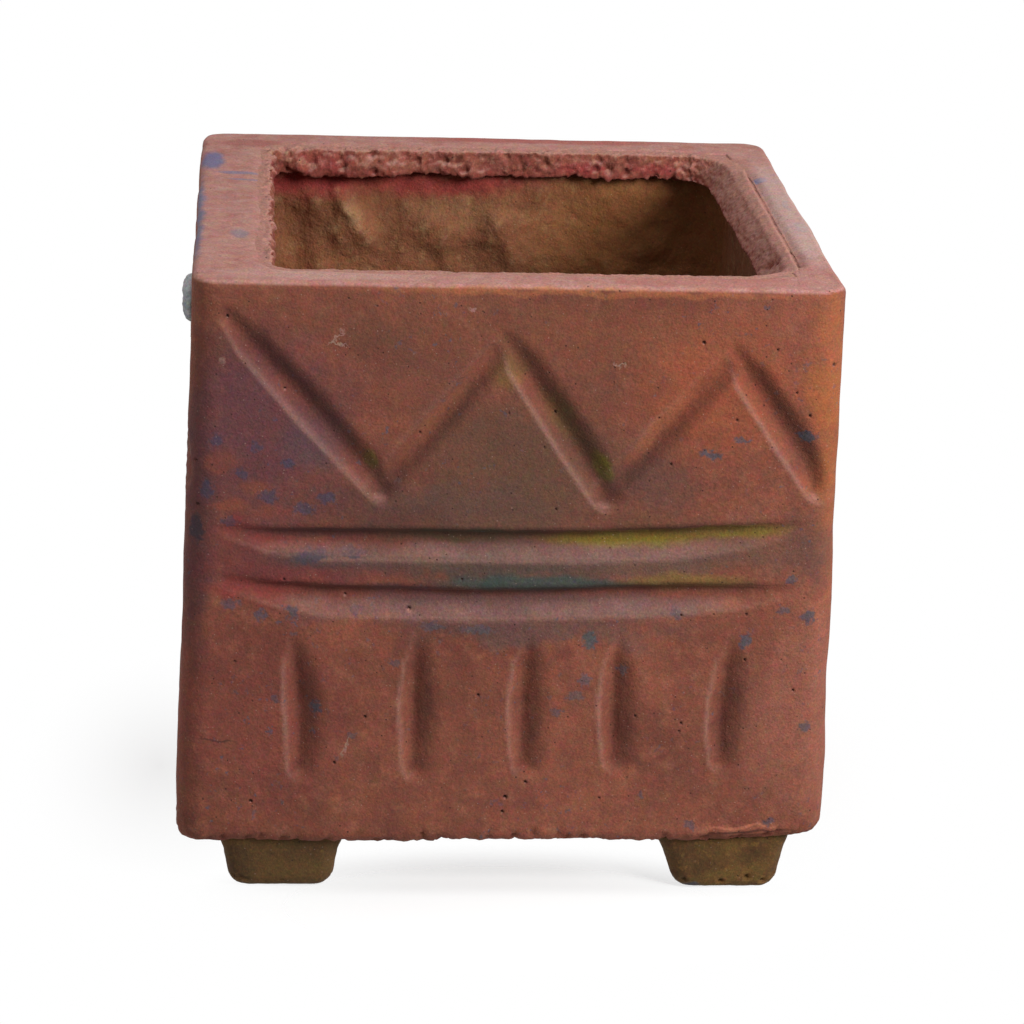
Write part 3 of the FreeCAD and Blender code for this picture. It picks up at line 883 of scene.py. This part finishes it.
# Oxide greens and yellows that gathered in the marks, the darkest along the bows' upper edges partly
# painted shade; orange bands along the links that are painted highlights; and lines along the bottom edge
# and the rim: a pale and a dark one along the flash over the right foot, its painted highlight and painted
# shadow, and an orange one along the rim's front edge, a painted highlight
TINTS_AND_PAINTED_LIGHT = [
    # A pale and a dark line along the flash over the right foot: its painted highlight and painted shadow
    ("#A0604A", 0.6, 77, 177.3, 17, 0.7, -1), ("#3A1C16", 0.8, 78, 178.9, 18, 0.7, -1),
    ("#7E4029", 0.4, -91, 57, 7, 5, 0), ("#84442C", 0.35, -80, 65, 7, 3.6, 0),
    ("#7E4029", 0.45, -88, 71, 9, 3, 0), ("#7A3C2C", 0.35, -74, 73, 9, 2.6, 0),
    # First: a painted highlight along the rim's front edge
    ("#9A5C36", 0.4, 20, 2.0, 92, 1.5, 0), ("#52403C", 0.75, 10, 85.5, 68, 4.2, 0),
    ("#54403E", 0.9, 4, 103, 68, 4.8, 0), ("#463230", 0.85, -54, 88, 32, 4.6, 0),
    ("#54403E", 0.7, 44, 102.5, 26, 4.4, 0), ("#5A4238", 0.6, 42, 90, 24, 4, 0),
    ("#5A3E2E", 0.5, -6, 76, 20, 4, 0), ("#5C3C2A", 0.5, 42, 74.5, 18, 4, 0),
    ("#5A3230", 0.4, -58, 67, 14, 9, 0), ("#4E3A3E", 0.6, -62, 50, 14, 12, 0),
    # Dark green oxide along the upper bow's upper edge, partly painted shade
    ("#3C2226", 0.8, -60, 80.2, 28, 3.0, 0), ("#26301C", 0.95, -14, 80.2, 38, 3.4, 0),
    ("#69620C", 1.0, 35, 80.8, 34, 4.0, -1), ("#6E5F1C", 0.9, 66, 78.2, 26, 3.2, -4),
    # First: dark green oxide along the lower bow's upper edge, partly painted shade
    ("#343F3A", 0.9, 10, 95.6, 44, 4.4, 0), ("#71582A", 0.7, 54, 94.4, 26, 4, 0),
    ("#5A5218", 0.7, -45, 56, 3.4, 5, -30), ("#5F5A12", 0.85, 26.5, 57, 3.6, 8, -35),
    ("#5C4E20", 0.5, -3, 27, 8, 8, 0), ("#56501E", 0.5, 14, 42, 5, 16, -35),
    # Painted highlights along the links' lit shoulders
    ("#8A5238", 0.5, -24, 42, 4, 22, 38), ("#9A5C3C", 0.5, 44, 44, 4, 20, 38),
    ("#4A2822", 0.8, -92, 148.5, 8, 0.5, 2),
]
# Blue-grey flecks of dark pigment, and pale lime
FLECKS = [
    ("#343749", 0.6, -92, 50, 3, 3, 0), ("#343749", 0.6, -84, 61, 3, 2.4, 30),
    ("#343749", 0.6, -76, 68, 4, 3, 0), ("#343749", 0.6, -70, 57, 3, 2.4, 0),
    ("#343749", 0.6, -65, 72, 5, 2.4, 0), ("#343749", 0.6, -95, 66, 2.4, 4, 0),
    ("#343749", 0.5, -88, 76, 4, 2, 0), ("#343749", 0.6, -58, 68, 4, 2.6, -20),
    ("#343749", 0.5, -80, 52, 2.6, 2, 0), ("#40404A", 0.8, 59.9, 52.7, 4.8, 1.8, 12),
    ("#43434C", 0.7, 70, 48, 3, 1.4, 0), ("#3A3C46", 0.85, 90, 46.5, 4.4, 2, 6),
    ("#3E3E4A", 0.8, 93.7, 105.5, 3, 3, 0), ("#41414C", 0.7, 87.2, 93.3, 2.4, 1.8, 0),
    ("#41414C", 0.6, 85.6, 103, 2.6, 1.6, 30), ("#41414C", 0.8, 74.2, 113.4, 2.4, 3.8, 20),
    ("#3C4648", 0.8, 25.2, 113.9, 2.8, 3.8, -20), ("#48464F", 0.6, 24, 127, 2, 3, 0),
    ("#48464F", 0.5, 21, 132.4, 4, 2, 0), ("#393640", 0.75, -62.2, 87, 9, 3, -8),
    ("#393640", 0.7, -50, 86, 6, 2.4, 0), ("#413F4A", 0.7, -67.9, 105.5, 2.6, 3, 0),
    ("#413F4A", 0.7, -78.1, 106.6, 3, 2.2, 0), ("#413F4A", 0.6, -87.4, 102.7, 4, 2, 0),
    ("#413F4A", 0.6, -73, 134.8, 2.4, 2, 0), ("#393842", 0.85, -60.5, 137.4, 2.4, 3.4, 0),
    ("#2E2830", 0.8, -98, 79, 3, 6, 0), ("#45404A", 0.6, -48.6, 104.6, 2.4, 2, 0),
    ("#46434C", 0.6, -10, 110.9, 7, 2, 0), ("#46434C", 0.6, -24, 110, 5, 2, 0),
    ("#413F4A", 0.6, 43.4, 166.3, 1.8, 1.8, 0), ("#413F4A", 0.7, 95, 142.6, 2.6, 2.2, 0),
    ("#413F4A", 0.6, 60, 176.6, 3.4, 1.4, 20), ("#413F4A", 0.7, 85.1, 175.4, 2.6, 1.6, 0),
    ("#413F4A", 0.5, -49.3, 147.1, 2, 1.6, 0), ("#45404A", 0.6, 52, 105, 3, 2.4, 0),
    ("#413F4A", 0.6, 36, 124, 2, 2.6, 0), ("#413F4A", 0.6, 16, 138, 2.4, 1.8, 0),
    ("#413F4A", 0.5, -36, 122, 2.6, 1.8, 20), ("#A08478", 0.4, -56.5, 17.2, 4.6, 0.6, -40),
    ("#A08478", 0.4, -55, 19, 3.6, 0.5, 20), ("#947468", 0.4, -90.5, 24.6, 1.2, 2.4, 0),
    ("#A08478", 0.35, -50.8, 150.5, 4.2, 0.8, -70), ("#A08478", 0.4, 30.7, 24.3, 2.6, 0.6, 10),
    ("#A08478", 0.4, -15.2, 7.7, 2, 0.7, 0),
]
# Smears of blue-grey and crimson on the rim, and an orange line along its front edge that is a painted
# highlight: pigment, strength, x, y, half width, half length
RIM_SMEARS_AND_HIGHLIGHT = [
    ("#48557A", 0.75, -96, 56, 5, 17), ("#5A5F7A", 0.6, -87, 39, 10, 2.6),
    ("#5A5F7A", 0.5, -84, 30, 9, 2), ("#515C74", 0.75, -101.5, -20, 5, 80),
    ("#6A6670", 0.6, -85.5, -42, 4, 7), ("#455580", 0.85, 91.6, 44, 3.4, 4.4),
    ("#5C627A", 0.6, 95.5, 8, 1.8, 9), ("#6A6C78", 0.6, 96.7, -23, 2.6, 9),
    ("#8C3E38", 0.6, 20, 95, 60, 5), ("#C8B8B0", 0.8, -77.5, 48, 1.8, 3.4),
    # Second: a painted highlight along the rim's front edge
    ("#7E3A34", 0.5, -82, 84, 16, 8), ("#A0683F", 0.7, 20, -101.5, 90, 3.0),
    ("#935850", 0.5, 60, -92, 40, 8), ("#A98F88", 0.6, 95, 0, 8, 90),
    ("#A58076", 0.6, -60, -90, 40, 8),
]
# Pigments of the hidden sides, washed over them in streaks: pigment, size, where the noise starts, strength
HIDDEN_STREAKS = [
    ("#5A3440", 80, 0.50, 0.5), ("#55473A", 58, 0.52, 0.45), ("#8E5434", 64, 0.52, 0.4),
    ("#43434F", 4, 0.68, 0.6),
]
# Colour on the collar's, the lining's and the feet's own faces: pigment, strength, middle, radii and turn.
# The collar gets red pigment. The lining gets red bands, a lighter patch on the right of its back wall
# that is painted light where the right wall's shade falls, and pale painted highlights on its lumps. The
# feet get a darker patch on the front left one, a lighter one on the front right one's right side, and a
# blue-grey speck.
COLLAR_TINTS = [
    ("#82302F", 0.75, (34, 80, 195.5), (15, 7, 3.4), 0), ("#82302F", 0.7, (60, 80, 196), (14, 7, 3), 0),
    ("#80352F", 0.6, (-56, 80, 196), (16, 7, 5), 0), ("#7A3430", 0.6, (-76, 60, 197), (7, 20, 6), 0),
]
LINING_TINTS_AND_PAINTED_LIGHT = [
    ("#8A3230", 0.9, (-66, 85, 190), (30, 20, 11), 0), ("#8A3430", 0.85, (-14, 85, 190), (44, 20, 9), 0),
    # Second: a lighter patch, painted light in the shade of the right wall
    ("#8E3A34", 0.8, (-84, 60, 184), (14, 40, 16), 0), ("#80502A", 0.75, (62, 85, 168), (58, 40, 42), 0),
    # Second, and the next line: pale painted highlights on lumps of the back wall
    ("#7A4A2E", 0.5, (-72, 85, 160), (22, 20, 12), 0), ("#9C7654", 0.45, (-48, 80, 178), (7, 12, 9), 0),
    ("#8E6648", 0.3, (-10, 80, 178), (26, 12, 7), 0),
]
FOOT_TINTS = [
    ("#3E2B16", 0.5, (-72, -96, 8), (30, 34, 16), 0), ("#7C5030", 0.7, (88, -84, 10), (8, 14, 14), 0),
    ("#3E434C", 0.7, (62, -98, 1.5), (4, 6, 2), 0),
]
# Marks are redder and darker inside, partly red pigment and partly painted shade of the hollow. Their side
# turned from the light gets painted shade, and their pressed-up shoulders carry lime with a painted
# highlight
MARK_COLOURS = [("pressed", "#5C2C22", 0.4), ("crease", "#2A1814", 0.5), ("shoulder", "#8C665A", 0.5)]


def red_cement():
    """Face coat: cement stained brick red in the mix, with darker oxides washed in and lime dust on top, and
    painted shade and painted highlights in its marks, pits, hollows and edges.
    """
    material, tree, shader, place = cement("red_pigmented_cement")
    colour = blend(tree, linear("#67382A"), "#7E4735", cloudy(tree, place, 42, 0.35, 0.65))
    colour = blend(tree, colour, "#5B2F27", cloudy(tree, place, 9, 0.48, 0.72, 0.55))
    colour = blend(tree, colour, "#8C5540", cloudy(tree, place, 5, 0.52, 0.72, 0.5))
    # The hidden sides get the same pigments in streaks
    streaked = add(tree, "Mapping", {"Vector": place, "Scale": (1, 1, 2.2)})
    depth = add(tree, "SeparateXYZ", {"Vector": place}, output="Y")
    hidden = mapped(tree, depth, -99 * MM, -88 * MM)
    for pigment, size, low, strength in HIDDEN_STREAKS:
        share = cloudy(tree, streaked, size, low, low + 0.12, strength)
        colour = blend(tree, colour, pigment, times(tree, share, hidden))
    colour = spots(tree, colour, bent(tree, place, 14, 26), on_front(WASHES), 0.75)
    tint_place = bent(tree, place, 9, 5)
    # Oxide tints, with painted highlights and painted shade along the marks, the flash and the rim's front
    # edge
    colour = spots(tree, colour, tint_place, on_front(TINTS_AND_PAINTED_LIGHT), 0.6)
    # Marks: darker red hollows that are partly painted shade, painted shade on the side turned from the
    # light, and lime with a painted highlight on their shoulders
    for name, pigment, strength in MARK_COLOURS:
        value = add(tree, "Attribute", output="Fac", attribute_name=name)
        colour = blend(tree, colour, pigment, times(tree, value, strength))
    # Fine specks of the dark pigment over the whole face, thicker in places
    speck = cloudy(tree, place, 2.6, 0.63, 0.70, 0.7)
    patch = cloudy(tree, place, 30, 0.45, 0.62)
    colour = blend(tree, colour, "#47434E", times(tree, speck, patch))
    colour = spots(tree, colour, bent(tree, place, 1.7, 5.6), on_front(FLECKS), 0.55)
    # Painted shade in the pores' pits
    pit = add(tree, "Attribute", output="Fac", attribute_name="pit")
    colour = blend(tree, colour, "#2A1612", times(tree, pit, 0.85))
    # Painted shade where the mesh is hollow
    hollow = add(tree, "NewGeometry", output="Pointiness")
    colour = blend(tree, colour, "#3A1E18", mapped(tree, hollow, 0.485, 0.43, 0.7))
    # Lime dust on the rim, with its smears of pigment
    dusty = blend(tree, linear("#976A60"), "#84463D", cloudy(tree, place, 11, 0.45, 0.75, 0.6))
    dusty = blend(tree, dusty, "#A98078", cloudy(tree, place, 4, 0.45, 0.75, 0.6))
    # Rim smears, with a painted highlight along the rim's front edge
    dusty = spots(tree, dusty, tint_place, on_rim(RIM_SMEARS_AND_HIGHLIGHT), 0.5)
    colour = blend(tree, colour, dusty, facing_up(tree, 0.35, 0.8, interpolation_type="SMOOTHSTEP"))
    finish_cement(tree, shader, place, colour, 0.16, 0.5, 0.75)
    return material


def rough_red_cement():
    """Collar: dry red mix packed in by hand, crumbly and open, redder where it was never dusted."""
    material, tree, shader, place = cement("crumbly_red_cement")
    colour = blend(tree, linear("#7C4436"), "#6C3129", cloudy(tree, place, 10, 0.45, 0.65))
    colour = blend(tree, colour, "#946150", cloudy(tree, place, 3, 0.55, 0.72, 0.7))
    colour = spots(tree, colour, bent(tree, place, 3, 5), COLLAR_TINTS, 0.6)
    # Painted shade in hollows, and pale crumbs that are partly painted highlight
    colour = hollow_shade_and_pale_crumbs(tree, colour, "#52211B", "#A07464")
    height = add(tree, "SeparateXYZ", {"Vector": place}, output="Z")
    bottom = box_of("mouth_collar")[0].z
    colour = blend(tree, colour, "#6E2A22", mapped(tree, height, (bottom + 3) * MM, bottom * MM, 0.7))
    # Lime dust on its upper faces, as on the rim
    colour = blend(tree, colour, "#9C7165", facing_up(tree, 0.3, 0.8, 0.75))
    finish_cement(tree, shader, place, colour, 0.2, 0.6, 0.9)
    return material


def buff_mortar():
    """Lining and slab: sand and cement smeared on by hand, browner where it stayed damp."""
    material, tree, shader, place = cement("buff_mortar")
    colour = blend(tree, linear("#7F5035"), "#6A3E27", cloudy(tree, place, 24, 0.42, 0.62, 0.7))
    colour = blend(tree, colour, "#9A7450", cloudy(tree, place, 6, 0.54, 0.72, 0.6))
    # Red bands, painted light on the right of the back wall, and painted highlights on its lumps
    colour = spots(tree, colour, bent(tree, place, 12, 10), LINING_TINTS_AND_PAINTED_LIGHT, 0.6)
    # Painted shade in hollows, and pale crumbs that are partly painted highlight
    colour = hollow_shade_and_pale_crumbs(tree, colour, "#40261A", "#C2A178")
    finish_cement(tree, shader, place, colour, 0.14, 0.9, 0.6)
    return material


def foot_cement():
    """Feet: the same mortar, weathered to an olive brown, with soil on it."""
    material, tree, shader, place = cement("foot_mortar")
    colour = blend(tree, linear("#5E431F"), "#472F15", cloudy(tree, place, 12, 0.42, 0.62))
    colour = blend(tree, colour, "#7C592C", cloudy(tree, place, 3, 0.55, 0.72, 0.6))
    colour = spots(tree, colour, bent(tree, place, 3, 4), FOOT_TINTS, 0.5)
    # Painted shade in hollows, and pale crumbs that are partly painted highlight
    colour = hollow_shade_and_pale_crumbs(tree, colour, "#20160C", "#96784E")
    finish_cement(tree, shader, place, colour, 0.2, 0.6, 0.8)
    return material


def spill_mortar():
    """Spill: plain grey mortar, with no pigment in it."""
    material, tree, shader, place = cement("grey_mortar")
    colour = blend(tree, linear("#949396"), "#A6A4A2", cloudy(tree, place, 3, 0.45, 0.6))
    finish_cement(tree, shader, place, colour, 0.2, 0.5, 0.6)
    return material


def dress(piece, material, slot, *nodes):
    """Gives a piece its material, body and the CAD nodes it stands for; its slot is not used."""
    piece.data.materials.clear()
    piece.data.materials.append(material)
    pick(piece)
    bpy.ops.object.shade_smooth()
    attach(piece, "root")
    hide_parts(*nodes)


buff = buff_mortar()
foot_mortar = foot_cement()

dress(make_coat(), red_cement(), "red_cement", "face_coat")
dress(make_collar(), rough_red_cement(), "rough_red_cement", "mouth_collar")
dress(make_lining(), buff, "buff_mortar", "wall_lining")
dress(make_slab(), buff, "buff_mortar", "base_slab")
for node in ("foot_front_left", "foot_front_right", "foot_back_left", "foot_back_right"):
    dress(make_foot(node), foot_mortar, "foot_mortar", node)
dress(make_spill(), spill_mortar(), "grey_mortar", "mortar_spill")


# The photograph's camera, from a fit to the pot's corners: width of its frame and focal length in pixels,
# its place, and its turns in radians
FRAME_PIXELS = 1024
FOCAL_PIXELS = 3435.93
CAMERA_PLACE = (-80.75, -1102.23, 476.37)
PITCH, YAW, ROLL = 0.3324, 0.0797, 0.038


def make_camera():
    """Camera of the photograph."""
    data = bpy.data.cameras.new("camera")
    data.sensor_width = 36
    data.lens = data.sensor_width * FOCAL_PIXELS / FRAME_PIXELS
    camera = bpy.data.objects.new("camera", data)
    bpy.context.scene.collection.objects.link(camera)
    levelled = Matrix(((1, 0, 0), (0, 0, -1), (0, 1, 0)))
    tilted = Matrix.Rotation(ROLL, 3, "Z") @ Matrix.Rotation(PITCH, 3, "X")
    rows = tilted @ levelled @ Matrix.Rotation(YAW, 3, "Z")
    basis = Matrix((rows[0], -rows[1], -rows[2])).transposed()
    camera.matrix_world = Matrix.Translation(Vector(CAMERA_PLACE) * MM) @ basis.to_4x4()
    bpy.context.scene.camera = camera


make_camera()

# Soft round lights, in metres: place, diameter and power. All look at the pot's middle.
POT_MIDDLE = Vector((0, 0, 0.1))
LIGHTS = {
    "key": ((0.70, -0.66, 0.62), 0.38, 13.4),
    "fill": ((-1.0, -0.35, 0.25), 0.6, 1.5),
    "overhead": ((-0.05, -0.15, 1.25), 0.7, 5),
}
# The floor shows in an oval on each side of the pot, where its shadow falls: distance of its middle from
# the pot's, its radii, its share on the front, and the part of that on the other sides
OVAL_OUT = 112
OVAL_RADII = (110, 50, 1000)
OVAL_SHARE = 0.5
OVAL_OTHERS = 0.35
# Strength of the white surroundings as a light
AMBIENT = 0.35


def make_floor():
    """Pale floor that takes a faint soft shadow and fades into the white backdrop."""
    bpy.ops.object.select_all(action="DESELECT")
    bpy.ops.mesh.primitive_plane_add(size=4, location=(0, 0, 0))
    floor = bpy.context.object
    floor.name = "floor"
    material = bpy.data.materials.new("floor")
    material.use_nodes = True
    tree = material.node_tree
    tree.nodes.clear()
    place = add(tree, "TexCoord", output="Object")
    cover = 0.0
    for quarter in range(4):
        turn = quarter * math.pi / 2
        middle = Vector((0, -OVAL_OUT * MM, 0)) @ Matrix.Rotation(-turn, 3, "Z")
        oval = add(tree, "Mapping", {"Vector": place, "Rotation": (0, 0, turn), "Location": middle,
                                     "Scale": Vector(OVAL_RADII) * MM}, vector_type="TEXTURE")
        near = add(tree, "TexGradient", {"Vector": oval}, output="Fac", gradient_type="SPHERICAL")
        if quarter:
            near = times(tree, near, OVAL_OTHERS)
        cover = add(tree, "Math", {0: near, 1: cover}, operation="MAXIMUM")
    cover = mapped(tree, cover, 0, 0.7, OVAL_SHARE, interpolation_type="SMOOTHSTEP")
    diffuse = add(tree, "BsdfDiffuse", {"Color": linear("#F4F4F4")})
    clear = add(tree, "BsdfTransparent")
    add(tree, "OutputMaterial", {"Surface": add(tree, "MixShader", {0: cover, 1: clear, 2: diffuse})})
    floor.data.materials.append(material)


def make_studio():
    """White to the eye and in reflections, with soft lights round the pot."""
    world = bpy.data.worlds.new("studio")
    bpy.context.scene.world = world
    world.use_nodes = True
    tree = world.node_tree
    tree.nodes.clear()
    seen = 0.0
    for ray in ("Is Camera Ray", "Is Glossy Ray", "Is Transmission Ray"):
        seen = add(tree, "Math", {0: seen, 1: add(tree, "LightPath", output=ray)}, operation="MAXIMUM")
    strength = add(tree, "MapRange", {"Value": seen, "To Min": AMBIENT, "To Max": 1.0})
    background = add(tree, "Background", {"Color": (1, 1, 1, 1), "Strength": strength})
    add(tree, "OutputWorld", {"Surface": background})
    for name, (place, size, power) in LIGHTS.items():
        data = bpy.data.lights.new(name, "AREA")
        data.shape = "DISK"
        data.size = size
        data.energy = power
        light = bpy.data.objects.new(name, data)
        bpy.context.scene.collection.objects.link(light)
        light.location = place
        light.rotation_euler = (POT_MIDDLE - light.location).to_track_quat("-Z", "Y").to_euler()


make_floor()
make_studio()
bpy.context.scene.view_settings.view_transform = "Standard"
